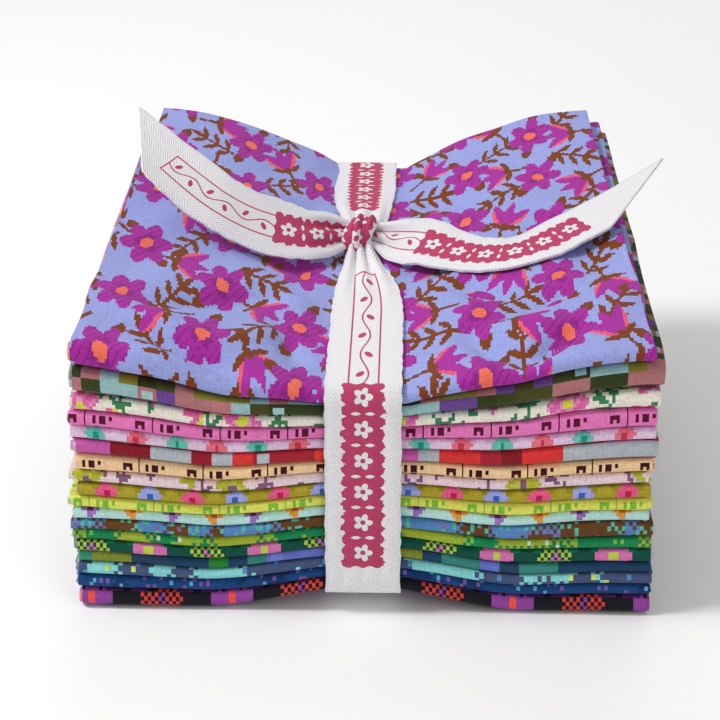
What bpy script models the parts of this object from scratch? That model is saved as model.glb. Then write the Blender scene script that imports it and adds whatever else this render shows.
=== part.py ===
"""A bundle of folded quilting cottons tied round the middle with a white tape.

Lengths below are in millimetres and become metres when a mesh is made.
X runs along the folded edges, Y runs from the front folds to the back, Z is up.
"""
import math

import bmesh
import bpy
from mathutils import Vector

COLLECTION_NAME = "fat_quarter_bundle"
MM = 0.001
COTTON_ROUGHNESS = 0.85
TAPE_ROUGHNESS = 0.8

# Each cotton is folded in thirds both ways, so one drawn layer is three plies of cloth.
HALF_WIDTH = 76.2
HALF_DEPTH = 93.0
LAYER_THICKNESS = 0.75
CLEARANCE = 0.3
TOP_CLEARANCE = 0.7

# The tape pulls the stack in over its own width, and the pull fades towards the sides.
TAPE_WIDTH = 20.0
TAPE_THICKNESS = 1.0
FLAT_HALF = 11.0
CINCH_STATIONS = (11.0, 20.0, 31.0, 44.0, 60.0)
POWER_FRONT_LEFT = 1.3
POWER_FRONT_RIGHT = 1.8
POWER_MIDDLE = 1.0
POWER_BACK = 1.4
POWER_BACK_TOP = 1.9
MIDDLE_RELAX = 0.27
BACK_GAIN = 0.04

# The tape lifts the middle of the lowest cotton off the table.
ARCH_HALF = 44.0
ARCH_END = 5.8
ARCH_MIDDLE = 1.9

# Heights are for one folded cotton at the left side, under the tape and at the right side.
# Edges are where its left and right sides end, and front is how far its fold stands proud.
COLUMNS = ("name", "left_height", "tape_height", "right_height", "left_edge", "right_edge",
           "front", "colour")
LOWER_COTTONS = (
    ("cotton_18_black", 6.0, 3.7, 5.4, -75.9, 76.1, 1.0, (0.012, 0.010, 0.016)),
    ("cotton_17_navy", 4.0, 3.0, 3.3, -76.8, 76.6, 0.4, (0.030, 0.075, 0.200)),
    ("cotton_16_slate", 3.7, 3.0, 3.1, -76.8, 76.8, 0.8, (0.110, 0.160, 0.260)),
    ("cotton_15_block_green", 3.1, 3.0, 3.4, -76.2, 76.2, 0.0, (0.050, 0.200, 0.180)),
    ("cotton_14_dark_green", 3.6, 3.1, 4.0, -77.0, 76.4, 0.6, (0.010, 0.110, 0.050)),
    ("cotton_13_green", 3.2, 3.0, 3.2, -77.7, 76.6, 0.2, (0.030, 0.330, 0.130)),
    ("cotton_12_brown", 3.3, 3.1, 4.6, -77.6, 76.3, 0.7, (0.170, 0.110, 0.060)),
    ("cotton_11_aqua", 3.3, 3.0, 3.1, -77.0, 75.4, 0.1, (0.450, 0.720, 0.680)),
    ("cotton_10_lime", 3.6, 3.2, 3.7, -77.2, 74.9, 0.5, (0.640, 0.720, 0.110)),
    ("cotton_09_mustard", 3.6, 3.4, 4.0, -75.4, 75.0, 0.9, (0.450, 0.310, 0.060)),
    ("cotton_08_blush", 3.8, 3.1, 3.2, -77.0, 74.8, 0.2, (0.780, 0.560, 0.560)),
    ("cotton_07_peach", 4.9, 3.5, 3.9, -75.3, 75.6, 0.6, (0.880, 0.580, 0.370)),
    ("cotton_06_red", 4.1, 3.4, 5.1, -75.6, 75.8, 0.8, (0.560, 0.060, 0.050)),
    ("cotton_05_lilac", 4.0, 3.0, 3.7, -76.0, 75.3, 0.1, (0.600, 0.430, 0.620)),
    ("cotton_04_pink", 4.4, 3.1, 5.5, -76.2, 75.1, 0.9, (0.780, 0.270, 0.480)),
    ("cotton_03_cream", 4.7, 3.1, 4.8, -75.5, 75.8, 0.3, (0.820, 0.740, 0.620)),
    ("cotton_02_olive", 7.6, 3.5, 7.9, -75.1, 76.4, 1.0, (0.180, 0.170, 0.070)),
)

# The top cotton's upper surface: heights over the table, and how its back corners draw in.
TOP_NAME = "cotton_01_periwinkle"
TOP_COLOUR = (0.330, 0.360, 0.700)
TOP_SIDE_FRONT = 78.0
TOP_SIDE_BACK = 84.5
TOP_TAPE_FRONT = 63.2
TOP_TAPE_MIDDLE = 65.5
TOP_TAPE_BACK = 63.0
TOP_LEFT = -75.0
TOP_RIGHT = 74.0
TOP_FRONT = 1.2
TOP_NARROWING = 0.07
TOP_MIDDLE_SHARE = 0.42
TOP_STATIONS = (11.0, 15.0, 20.0, 31.0, 44.0, 52.0, 60.0, 68.0)
TOP_ROWS = (92.0, 72.0, 47.0, 20.0, -8.0, -38.0, -66.0, -87.0)

# Lower cottons need a row at each end of a layer and one half way.
LAYER_ROWS = (89.0, 0.0, -89.0)
LOWER_MIDDLE_SHARE = 0.5
RAW_EDGE_BACK = 92.0
RAW_EDGE_INSIDE = -85.0
FOLD_ANGLES = (45.0, 0.0, -45.0)
BACK_BEND = 1.6
LEAST_MITRE = 0.5

# The knot sits on the top cotton, and the tape gathers towards it from all four sides.
KNOT_CENTRE = Vector((-3.0, 6.0, 71.0))
KNOT_HALF_SIZE = Vector((4.6, 5.2, 4.4))
KNOT_SEGMENTS = 16
KNOT_RINGS = 10
GATHER_WIDTH = 7.0
GATHER_THICKNESS = 2.4
FRONT_GATHER = {"start": -45.0, "end": 1.0, "power": 2.2}
BACK_GATHER = {"start": 75.0, "end": 13.0, "power": 1.1}
GATHER_DEPTH = 1.0
FRONT_ENTRY = KNOT_CENTRE + Vector((0.0, -1.0, -1.0))
BACK_ENTRY = KNOT_CENTRE + Vector((0.0, 1.0, -1.0))
TAPE_COLOUR = (0.830, 0.820, 0.840)

# The band's way round the stack: Y of its rows on top, from the knot out, and underneath.
FRONT_ROWS = (FRONT_GATHER["end"], -7.0, -15.0, -25.0, FRONT_GATHER["start"], -65.0, -84.0)
BACK_ROWS = (84.0, BACK_GATHER["start"], 62.0, 50.0, 38.0, 25.0, BACK_GATHER["end"])
UNDER_ROWS = (-45.0, 0.0, 45.0)
BAND_FRONT = HALF_DEPTH + TOP_FRONT + 2 * CLEARANCE + TAPE_THICKNESS / 2
BAND_CORNER = 1.8
CORNER_STEPS = (0.0, 45.0, 90.0)

# Tape ends: middle of the tape, and the way its upper edge leans, in degrees from level.
TAIL_COLUMNS = ("x", "y", "z", "lean", "width", "thickness")
LEFT_TAIL = (
    (-5.0, 5.5, 71.5, 55.0, 7.0, 2.4),
    (-10.5, 2.5, 72.9, 46.0, 12.0, 1.7),
    (-17.7, -3.0, 74.4, 36.0, 17.0, 1.2),
    (-25.2, -5.0, 76.5, 35.0, 20.0, 1.0),
    (-35.0, -6.0, 80.1, 36.0, 20.0, 1.0),
    (-45.0, -5.0, 85.4, 34.0, 20.0, 1.0),
    (-53.2, -1.5, 90.3, 28.0, 20.0, 1.0),
    (-60.9, 3.0, 95.4, 22.0, 20.0, 1.0),
)
RIGHT_TAIL = (
    (-1.0, 6.5, 71.5, 50.0, 7.0, 2.4),
    (4.0, 4.0, 71.4, 40.0, 10.0, 1.9),
    (9.0, 0.5, 71.6, 30.0, 16.0, 1.3),
    (16.5, -4.0, 72.3, 18.0, 20.0, 1.0),
    (23.3, -9.0, 72.1, 10.0, 20.0, 1.0),
    (30.3, -13.5, 72.5, 6.0, 20.0, 1.0),
    (39.0, -17.0, 74.1, 4.0, 20.0, 1.0),
    (46.0, -17.0, 75.8, 3.0, 20.0, 1.0),
    (52.6, -13.5, 78.2, 4.0, 20.0, 1.0),
    (57.5, -10.5, 81.0, 6.0, 20.0, 1.0),
    (61.8, -7.9, 83.9, 8.0, 20.0, 1.0),
)
LEFT_CUT = 19.5
RIGHT_CUT = 31.0


def clear_scene():
    for item in list(bpy.data.objects):
        bpy.data.objects.remove(item, do_unlink=True)


def principled(name, colour, roughness):
    material = bpy.data.materials.new(name)
    material.use_nodes = True
    shader = material.node_tree.nodes["Principled BSDF"]
    shader.inputs["Base Color"].default_value = (*colour, 1.0)
    shader.inputs["Roughness"].default_value = roughness
    shader.inputs["Metallic"].default_value = 0.0
    return material


def add_object(name, shape, colour, roughness, collection):
    """Turn a bmesh in millimetres into an object in metres."""
    bmesh.ops.scale(shape, vec=(MM, MM, MM), verts=shape.verts)
    bmesh.ops.recalc_face_normals(shape, faces=shape.faces)
    mesh = bpy.data.meshes.new(name)
    shape.to_mesh(mesh)
    shape.free()
    item = bpy.data.objects.new(name, mesh)
    item.data.materials.append(principled(name, colour, roughness))
    collection.objects.link(item)
    return item


# Shape of the stack

def smooth(value):
    value = min(max(value, 0.0), 1.0)
    return value * value * (3.0 - 2.0 * value)


def fade_from_tape(x, y, back_power):
    """0 at the tape and 1 at the sides, steeper at the ends of the fold than half way."""
    share = min(max((abs(x) - FLAT_HALF) / (HALF_WIDTH - FLAT_HALF), 0.0), 1.0)
    along = y / HALF_DEPTH
    end_power = back_power
    if along < 0.0:
        end_power = POWER_FRONT_LEFT if x < 0.0 else POWER_FRONT_RIGHT
    power = POWER_MIDDLE + (end_power - POWER_MIDDLE) * along * along
    return 1.0 - (1.0 - share) ** power


def underside(x, y):
    along = y / HALF_DEPTH
    lift = ARCH_MIDDLE + (ARCH_END - ARCH_MIDDLE) * along * along
    return smooth(1.0 - abs(x) / ARCH_HALF) * lift


def cotton_height(row, x, y):
    """Height of one folded cotton at a place on the stack."""
    side = row["left_height"] if x < 0.0 else row["right_height"]
    fade = fade_from_tape(x, y, POWER_BACK)
    along = y / HALF_DEPTH
    fade += (1.0 - fade) * MIDDLE_RELAX * (1.0 - along * along)
    gain = 1.0 + BACK_GAIN * fade * (0.5 + 0.5 * along)
    return (row["tape_height"] + (side - row["tape_height"]) * fade) * gain


def between(low, high, share):
    return low + (high - low) * share


def on_stations(function, x, y):
    """Read a height from straight lines between the shared stations, as its neighbours do."""
    stations = sorted({-HALF_WIDTH, HALF_WIDTH, *CINCH_STATIONS, *(-s for s in CINCH_STATIONS)})
    rows = sorted(LAYER_ROWS)
    column = max(i for i in range(len(stations) - 1) if stations[i] <= max(x, -HALF_WIDTH))
    line = max(i for i in range(len(rows) - 1) if rows[i] <= max(y, rows[0]))
    across = (x - stations[column]) / (stations[column + 1] - stations[column])
    along = (y - rows[line]) / (rows[line + 1] - rows[line])
    near = between(function(stations[column], rows[line]),
                   function(stations[column + 1], rows[line]), across)
    far = between(function(stations[column], rows[line + 1]),
                  function(stations[column + 1], rows[line + 1]), across)
    return between(near, far, along)


def stack_level(rows, x, y):
    """Height over the table of the stack made by some of the lower cottons."""
    return on_stations(
        lambda sx, sy: underside(sx, sy) + sum(cotton_height(row, sx, sy) for row in rows), x, y)


def top_surface(x, y):
    """Upper face of the top cotton: low along the tape, with wings that rise to the corners."""
    along = y / HALF_DEPTH
    end = TOP_TAPE_FRONT if along < 0.0 else TOP_TAPE_BACK
    low = between(TOP_TAPE_MIDDLE, end, along * along)
    high = between(TOP_SIDE_FRONT, TOP_SIDE_BACK, 0.5 + 0.5 * along)
    return between(low, high, fade_from_tape(x, y, POWER_BACK_TOP))


# Folded cottons

def fold_outline(path, thickness):
    """Both faces of a layer that follows a path of (y, z) points."""
    upper = []
    lower = []
    for index, point in enumerate(path):
        before = path[max(index - 1, 0)]
        after = path[min(index + 1, len(path) - 1)]
        incoming = (point - before).normalized() if index else None
        outgoing = (after - point).normalized() if index < len(path) - 1 else None
        incoming = incoming or outgoing
        outgoing = outgoing or incoming
        normal = Vector((-(incoming + outgoing).y, (incoming + outgoing).x)).normalized()
        mitre = normal.dot(Vector((-incoming.y, incoming.x)))
        reach = thickness / 2 / max(mitre, LEAST_MITRE)
        upper.append(point + normal * reach)
        lower.append(point - normal * reach)
    return upper, lower


def loft_layers(sections):
    """Join (upper, lower) outlines at rising x into one closed body.

    Every face is split along the same diagonal, so that twisted neighbours stay parallel.
    """
    shape = bmesh.new()
    rings = []
    for upper, lower in sections:
        upper_row = [shape.verts.new(point) for point in upper]
        lower_row = [shape.verts.new(point) for point in lower]
        rings.append((upper_row, lower_row))
    for (upper_a, lower_a), (upper_b, lower_b) in zip(rings, rings[1:]):
        ring_a = upper_a + lower_a[::-1]
        ring_b = upper_b + lower_b[::-1]
        for index in range(len(ring_a)):
            following = (index + 1) % len(ring_a)
            near, far = ring_a[index], ring_a[following]
            far_next, near_next = ring_b[following], ring_b[index]
            if near.co.y < far.co.y:
                shape.faces.new((near, far, far_next))
                shape.faces.new((near, far_next, near_next))
            else:
                shape.faces.new((near, far, near_next))
                shape.faces.new((far, far_next, near_next))
    for upper_row, lower_row in (rings[0], rings[-1]):
        for index in range(len(upper_row) - 1):
            shape.faces.new((upper_row[index], upper_row[index + 1],
                             lower_row[index + 1], lower_row[index]))
    return shape


def folded_path(x, front, floor, roof, upper_rows, middle_share):
    """Middle line of a cloth folded in three: over the top, round the front fold, back
    along the bottom, up at the back and forwards again between the two."""
    half = LAYER_THICKNESS / 2

    def level(y, share):
        low = floor(x, y) + half
        return Vector((y, between(low, roof(x, y) - half, share)))

    path = [level(y, 1.0) for y in upper_rows]
    start = upper_rows[-1]
    fold_top = level(start, 1.0).y
    fold_bottom = level(LAYER_ROWS[-1], 0.0).y
    middle = (fold_top + fold_bottom) / 2
    rise = (fold_top - fold_bottom) / 2
    reach = HALF_DEPTH + front - half + start
    for angle in FOLD_ANGLES:
        turn = math.radians(angle)
        path.append(Vector((start - reach * math.cos(turn), middle + rise * math.sin(turn))))
    path += [level(y, 0.0) for y in reversed(LAYER_ROWS)]
    back = level(LAYER_ROWS[0], middle_share / 2)
    path.append(Vector((back.x + BACK_BEND, back.y)))
    inner_rows = (LAYER_ROWS[0], LAYER_ROWS[1], RAW_EDGE_INSIDE)
    path += [level(y, middle_share) for y in inner_rows]
    return path


def spread_stations(stations, left, right):
    return [left, *(-s for s in reversed(stations)), *stations, right]


def make_lower_cotton(row, below, collection):
    lift = CLEARANCE if below else 0.0
    rows = (RAW_EDGE_BACK, LAYER_ROWS[1], LAYER_ROWS[2])
    sections = []
    for x in spread_stations(CINCH_STATIONS, row["left_edge"], row["right_edge"]):

        def floor(sx, sy):
            return stack_level(below, sx, sy) + lift

        def roof(sx, sy):
            return stack_level([*below, row], sx, sy)

        path = folded_path(x, row["front"], floor, roof, rows, LOWER_MIDDLE_SHARE)
        upper, lower = fold_outline(path, LAYER_THICKNESS)
        sections.append(([(x, *point) for point in upper], [(x, *point) for point in lower]))
    return add_object(row["name"], loft_layers(sections), row["colour"], COTTON_ROUGHNESS,
                      collection)


def make_top_cotton(below, collection):
    def floor(sx, sy):
        return stack_level(below, sx, sy) + TOP_CLEARANCE

    def draw_in(x, point):
        """Only the upper layer narrows towards the back, where its corners lift."""
        y, z = point
        depth = (y + HALF_DEPTH) / (2 * HALF_DEPTH)
        share = (z - floor(x, y)) / (top_surface(x, y) - floor(x, y))
        raised = smooth(2.0 * share - 1.0)
        return x * (1.0 - TOP_NARROWING * depth * raised)

    sections = []
    for x in spread_stations(TOP_STATIONS, TOP_LEFT, TOP_RIGHT):
        path = folded_path(x, TOP_FRONT, floor, top_surface, TOP_ROWS, TOP_MIDDLE_SHARE)
        upper, lower = fold_outline(path, LAYER_THICKNESS)
        sections.append(([(draw_in(x, point), *point) for point in upper],
                         [(draw_in(x, point), *point) for point in lower]))
    return add_object(TOP_NAME, loft_layers(sections), TOP_COLOUR, COTTON_ROUGHNESS, collection)


# Tape

def tape_body(stations):
    """One closed strip through (centre, across, normal, width, thickness) stations."""
    shape = bmesh.new()
    rings = []
    for centre, across, normal, width, thickness in stations:
        side = across * (width / 2)
        up = normal * (thickness / 2)
        corners = (centre - side - up, centre - up, centre + side - up,
                   centre + side + up, centre + up, centre - side + up)
        rings.append([shape.verts.new(corner) for corner in corners])
    for ring_a, ring_b in zip(rings, rings[1:]):
        for index in range(6):
            following = (index + 1) % 6
            shape.faces.new((ring_a[index], ring_a[following], ring_b[following], ring_b[index]))
    for ring in (rings[0], rings[-1]):
        shape.faces.new(ring[0:2] + ring[4:6])
        shape.faces.new(ring[1:5])
    return shape


def band_stations():
    """The tape's way from the knot over the front, under the stack and up the back."""
    lift = CLEARANCE + TAPE_THICKNESS / 2

    def over_top(y):
        return Vector((0.0, y, top_surface(0.0, y) + lift))

    def under(y):
        return Vector((0.0, y, on_stations(underside, 0.0, y) - lift))

    top_front = over_top(FRONT_ROWS[-1]).z
    top_back = over_top(BACK_ROWS[0]).z
    bottom = under(LAYER_ROWS[-1]).z
    path = [FRONT_ENTRY]
    path += [over_top(y) for y in FRONT_ROWS]
    path += rounded_corner(-BAND_FRONT, top_front, 1.0, 90.0)
    path += [Vector((0.0, -BAND_FRONT, between(top_front, bottom, 0.5)))]
    path += rounded_corner(-BAND_FRONT, bottom, -1.0, 180.0)
    path += [under(y) for y in UNDER_ROWS]
    path += rounded_corner(BAND_FRONT, bottom, -1.0, 270.0)
    path += [Vector((0.0, BAND_FRONT, between(top_back, bottom, 0.5)))]
    path += rounded_corner(BAND_FRONT, top_back, 1.0, 0.0)
    path += [over_top(y) for y in BACK_ROWS]
    path += [BACK_ENTRY]
    return strip_frames(path)


def rounded_corner(y, z, direction, start):
    """Three points round a corner of the band, starting at an angle in the YZ plane."""
    centre = Vector((0.0, y - math.copysign(BAND_CORNER, y), z - direction * BAND_CORNER))
    points = []
    for step in CORNER_STEPS:
        turn = math.radians(start + step)
        points.append(centre + Vector((0.0, math.cos(turn), math.sin(turn))) * BAND_CORNER)
    return points


def strip_frames(path):
    """Frames of the band, which narrows and thickens where it is gathered at the knot."""
    stations = []
    for index, point in enumerate(path):
        before = path[max(index - 1, 0)]
        after = path[min(index + 1, len(path) - 1)]
        tangent = (after - before).normalized()
        across = Vector((1.0, 0.0, 0.0))
        normal = tangent.cross(across).normalized()
        gather = gather_at(point)
        width = between(TAPE_WIDTH, GATHER_WIDTH, gather)
        thickness = between(TAPE_THICKNESS, GATHER_THICKNESS, gather)
        centre = point + Vector((KNOT_CENTRE.x * gather, 0.0, 0.0))
        if index in (0, len(path) - 1):
            centre = point
        centre = centre + Vector((0.0, 0.0, (thickness - TAPE_THICKNESS) / 2))
        stations.append((centre, across, normal, width, thickness))
    return stations


def gather_at(point):
    """0 where the tape is flat and 1 where it enters the knot."""
    if point.z < top_surface(0.0, point.y) - GATHER_DEPTH:
        return 0.0
    gather = FRONT_GATHER if point.y < KNOT_CENTRE.y else BACK_GATHER
    share = (point.y - gather["start"]) / (gather["end"] - gather["start"])
    return min(max(share, 0.0), 1.0) ** gather["power"]


def tail_stations(table, cut):
    """A free end of the tape. The cut slants it, so its upper edge runs on past the lower."""
    rows = [dict(zip(TAIL_COLUMNS, values)) for values in table]
    centres = [Vector((row["x"], row["y"], row["z"])) for row in rows]
    stations = []
    for index, row in enumerate(rows):
        before = centres[max(index - 1, 0)]
        after = centres[min(index + 1, len(rows) - 1)]
        tangent = (after - before).normalized()
        lean = math.radians(row["lean"])
        across = Vector((0.0, math.cos(lean), math.sin(lean)))
        across = (across - tangent * across.dot(tangent)).normalized()
        normal = across.cross(tangent).normalized()
        stations.append((centres[index], across, normal, row["width"], row["thickness"]))
    centre, across, normal, width, thickness = stations[-1]
    heading = (centres[-1] - centres[-2]).normalized()
    slant = across * width + heading * cut
    stations[-1] = (centre + heading * cut / 2, slant.normalized(), normal, slant.length, thickness)
    return stations


def knot_body():
    shape = bmesh.new()
    bmesh.ops.create_uvsphere(shape, u_segments=KNOT_SEGMENTS, v_segments=KNOT_RINGS, radius=1.0)
    bmesh.ops.scale(shape, vec=KNOT_HALF_SIZE, verts=shape.verts)
    bmesh.ops.translate(shape, vec=KNOT_CENTRE, verts=shape.verts)
    return shape


def make_tie(collection):
    """Band, knot and both ends are one length of tape, so they are joined into one body."""
    tie = add_object("tape_tie", tape_body(band_stations()), TAPE_COLOUR, TAPE_ROUGHNESS,
                     collection)
    cutters = bpy.data.collections.new("joined_into_tape")
    bpy.context.scene.collection.children.link(cutters)
    pieces = (("knot", knot_body()),
              ("left_end", tape_body(tail_stations(LEFT_TAIL, LEFT_CUT))),
              ("right_end", tape_body(tail_stations(RIGHT_TAIL, RIGHT_CUT))))
    for name, shape in pieces:
        piece = add_object(name, shape, TAPE_COLOUR, TAPE_ROUGHNESS, cutters)
        piece.hide_render = True
        piece.display_type = "WIRE"
        union = tie.modifiers.new("join_" + name, "BOOLEAN")
        union.operation = "UNION"
        union.solver = "EXACT"
        union.object = piece
    return tie


def stand_on_origin(items, guides):
    """Put the middle of the whole bundle's box over the origin, with its base at z = 0."""
    bpy.context.view_layer.update()
    graph = bpy.context.evaluated_depsgraph_get()
    corners = []
    for item in items:
        evaluated = item.evaluated_get(graph)
        corners += [vertex.co.copy() for vertex in evaluated.data.vertices]
    middle = [(min(c[axis] for c in corners) + max(c[axis] for c in corners)) / 2
              for axis in (0, 1)]
    base = min(c[2] for c in corners)
    for item in [*items, *guides]:
        for vertex in item.data.vertices:
            vertex.co -= Vector((*middle, base))


def main():
    clear_scene()
    collection = bpy.data.collections.new(COLLECTION_NAME)
    bpy.context.scene.collection.children.link(collection)
    rows = [dict(zip(COLUMNS, values)) for values in LOWER_COTTONS]
    items = []
    for index, row in enumerate(rows):
        items.append(make_lower_cotton(row, rows[:index], collection))
    items.append(make_top_cotton(rows, collection))
    items.append(make_tie(collection))
    guides = [item for item in bpy.data.objects if item.hide_render]
    stand_on_origin(items, guides)


main()
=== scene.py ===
import math
import random

import bpy
import numpy as np
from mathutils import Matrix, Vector


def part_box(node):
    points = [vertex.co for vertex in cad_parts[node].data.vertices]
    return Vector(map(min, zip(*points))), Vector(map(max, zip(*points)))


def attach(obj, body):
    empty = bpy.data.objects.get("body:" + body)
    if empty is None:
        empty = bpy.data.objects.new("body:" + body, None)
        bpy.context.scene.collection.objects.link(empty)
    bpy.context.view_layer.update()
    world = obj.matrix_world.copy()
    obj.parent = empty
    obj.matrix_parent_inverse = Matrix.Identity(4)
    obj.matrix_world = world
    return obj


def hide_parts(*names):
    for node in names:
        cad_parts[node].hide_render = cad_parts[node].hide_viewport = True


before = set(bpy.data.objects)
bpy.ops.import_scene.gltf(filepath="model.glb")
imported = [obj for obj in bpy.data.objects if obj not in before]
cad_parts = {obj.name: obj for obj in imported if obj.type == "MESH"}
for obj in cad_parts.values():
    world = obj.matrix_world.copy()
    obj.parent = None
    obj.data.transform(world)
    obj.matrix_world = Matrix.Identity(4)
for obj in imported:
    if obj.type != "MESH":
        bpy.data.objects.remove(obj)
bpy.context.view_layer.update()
print("frame loaded:", len(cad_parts), "solids")

mm = 0.001  # shapes below are in millimetres on the table, meshes are in metres
fullTurn = 2 * math.pi

look = {
    "azimuth": 1.4,         # where the camera stands, in degrees
    "elevation": 24.0,
    "lens": 102.0,
    "distance": 623.0,
    "aim": (-3.09, 0.45, 32.3),
    "floor": "#ffffff",
    "sky": "#ffffff",
    "skyPower": 0.36,
    "floorHalf": 6.0,       # in metres, like the lights' places and widths
    "lightAim": (0.0, 0.0, 0.04),
    "lights": [             # name, place, width, power
        ("key", (-0.8, -0.2, 0.95), 0.4, 10.0),
        ("fill", (0.6, -0.9, 0.6), 0.9, 2.4),
        ("rim", (0.1, 0.9, 0.9), 0.9, 3.3),
    ],
}

stack = {
    "halfWidth": 76.2,
    "halfDepth": 93.0,
    "flatHalf": 11.0,       # half of what the tape holds flat
    "powerFrontLeft": 1.3,
    "powerFrontRight": 1.8,
    "powerMiddle": 1.0,
    "powerBack": 1.4,
    "middleRelax": 0.27,
    "backGain": 0.04,
    "rightGain": 1.03,      # times the heights listed for the right side and the tape
    "tapeGain": 1.045,
    "archHalf": 44.0,       # the tape lifts the middle of the lowest cotton
    "archEnd": 7.4,
    "archMiddle": 1.9,
    "cut": (457.0, 559.0),  # flat size of each cotton
    "clothThickness": 0.2,
    "gap": 0.14,            # between two cottons
    "layerShare": 0.3,      # of a cotton's height, for each of its three layers
    "waviness": 0.2,
    "rawEdge": 92.0,
    "backRow": 89.0,
    "insideEdge": -85.0,
}

topSheet = {
    "sideFront": 78.0,
    "sideBack": 84.5,
    "tapeFront": 65.2,
    "tapeMiddle": 65.5,
    "tapeBack": 63.0,
    "powerBack": 1.9,
    "narrowing": 0.07,
    "middleShare": 0.42,
    "foldGain": 2.0,        # times the depths below
    "unevenness": 0.25,
    # soft folds: centre x and y, heading in degrees, length, width, depth
    "troughs": [
        (-44, -84, -25, 17, 4.6, 2.7),
        (-41, -46, 36, 22, 6.0, 2.0),
        (34, -77, -65, 14, 4.6, 2.1),
        (50, -81, 47, 13, 4.4, 2.3),
        (51, -51, 27, 12, 5.0, 1.7),
        (34, -36, -46, 12, 5.0, 1.7),
        (-21, -66, -74, 17, 4.2, 1.3),
        (-25, -12, -28, 18, 5.0, 1.1),
        (27, -8, 24, 18, 5.5, 1.1),
        (-26, 36, 30, 18, 6.0, 1.1),
        (28, 40, -34, 18, 6.5, 1.1),
        (-62, -22, 70, 26, 7.0, 1.0),
        (63, -24, -72, 24, 7.0, 0.9),
    ],
    "ridges": [
        (-57, -70, -32, 20, 6.5, 1.4),
        (-30, -68, 42, 14, 5.0, 1.0),
        (43, -68, -12, 9, 6.0, 1.2),
        (26, -56, 62, 13, 4.6, 0.9),
        (66, -66, 52, 14, 6.0, 0.8),
        (-20, -38, -45, 14, 4.5, 0.7),
        (22, -24, 40, 14, 4.5, 0.7),
        (-48, 20, 62, 26, 9.0, 0.9),
        (50, 26, -60, 26, 9.0, 0.9),
    ],
}


# Shader nodes, written as sums

class Field:
    # one output of a node, on which Python's own operators add Math nodes
    def __init__(self, surface, socket):
        self.surface = surface
        self.socket = socket

    def maths(self, operation, *values):
        sockets = {index: value for index, value in enumerate(values)}
        return self.surface.add("ShaderNodeMath", {"operation": operation}, sockets)

    def __add__(self, other):
        return self.maths("ADD", self, other)

    def __sub__(self, other):
        return self.maths("SUBTRACT", self, other)

    def __rsub__(self, other):
        return self.maths("SUBTRACT", other, self)

    def __mul__(self, other):
        return self.maths("MULTIPLY", self, other)

    def __truediv__(self, other):
        return self.maths("DIVIDE", self, other)

    def __lt__(self, other):
        return self.maths("LESS_THAN", self, other)

    def __gt__(self, other):
        return self.maths("GREATER_THAN", self, other)

    def __abs__(self):
        return self.maths("ABSOLUTE", self)

    def __mod__(self, other):
        return self.maths("FLOORED_MODULO", self, other)

    def __or__(self, other):
        return self.maths("MAXIMUM", self, other)

    __radd__ = __add__
    __rmul__ = __mul__

    def floor(self):
        return self.maths("FLOOR", self)

    def sin(self):
        return self.maths("SINE", self)

    def cos(self):
        return self.maths("COSINE", self)


def tint(code):
    # a web colour as the linear colour that a shader takes
    parts = [int(code[i:i + 2], 16) / 255 for i in (1, 3, 5)]
    linear = [p / 12.92 if p <= 0.04045 else ((p + 0.055) / 1.055) ** 2.4 for p in parts]
    return (*linear, 1.0)


class Surface:
    # a material whose nodes are added one by one
    def __init__(self, name):
        self.material = bpy.data.materials.new(name)
        self.material.use_nodes = True
        self.tree = self.material.node_tree
        self.shader = self.tree.nodes["Principled BSDF"]

    def add(self, kind, settings=None, values=None, output=0):
        node = self.tree.nodes.new(kind)
        for key, value in (settings or {}).items():
            if key == "stops":
                self.setStops(node.color_ramp, value)
            else:
                setattr(node, key, value)
        for key, value in (values or {}).items():
            self.feed(node.inputs[key], value)
        return Field(self, node.outputs[output])

    def setStops(self, ramp, colours):
        # equal steps of plain colours
        ramp.interpolation = "CONSTANT"
        while len(ramp.elements) < len(colours):
            ramp.elements.new(1.0)
        for index, colour in enumerate(colours):
            ramp.elements[index].position = index / len(colours)
            ramp.elements[index].color = tint(colour)

    def feed(self, socket, value):
        if isinstance(value, Field):
            self.tree.links.new(value.socket, socket)
        elif isinstance(value, str):
            socket.default_value = tint(value)
        else:
            socket.default_value = value

    def cloth(self):
        # place on the flat cloth, in millimetres, and 1 on its reverse side
        place = self.add("ShaderNodeAttribute", {"attribute_name": "cloth"}, output=1)
        return [self.add("ShaderNodeSeparateXYZ", {}, {0: place}, part) for part in (0, 1, 2)]

    def point(self, x, y, z):
        return self.add("ShaderNodeCombineXYZ", {}, {0: x, 1: y, 2: z})

    def chance(self, x, y, seed=0.0):
        # a random number for each pair of whole numbers
        values = {"Vector": self.point(x, y, seed)}
        return self.add("ShaderNodeTexWhiteNoise", {"noise_dimensions": "3D"}, values)

    def noise(self, x, y, size, detail=2.0, seed=0.0):
        values = {"Vector": self.point(x, y, seed), "Scale": 1 / size, "Detail": detail}
        return self.add("ShaderNodeTexNoise", {"noise_dimensions": "3D"}, values)

    def clothFinish(self, settings, height):
        # relief, and the values that are the same all over
        values = {"Strength": settings["bump"], "Distance": settings["bumpDepth"] * mm,
                  "Height": height}
        self.feed(self.shader.inputs["Normal"], self.add("ShaderNodeBump", {}, values))
        for key, value in settings.items():
            if key in self.shader.inputs:
                self.shader.inputs[key].default_value = value

    def paint(self, base, colour, mask):
        return self.add("ShaderNodeMix", {"data_type": "RGBA"}, {0: mask, 6: base, 7: colour}, 2)

    def tone(self, base, amount):
        # lightens or darkens a colour by a varying amount
        grey = self.add("ShaderNodeCombineColor", {}, {0: amount, 1: amount, 2: amount})
        settings = {"data_type": "RGBA", "blend_type": "MULTIPLY"}
        return self.add("ShaderNodeMix", settings, {0: 1.0, 6: base, 7: grey}, 2)


# Shapes that prints are drawn with

def stitched(value, size):
    # steps a coordinate, so that what is drawn on it looks like counted stitches
    return ((value / size).floor() + 0.5) * size


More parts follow.
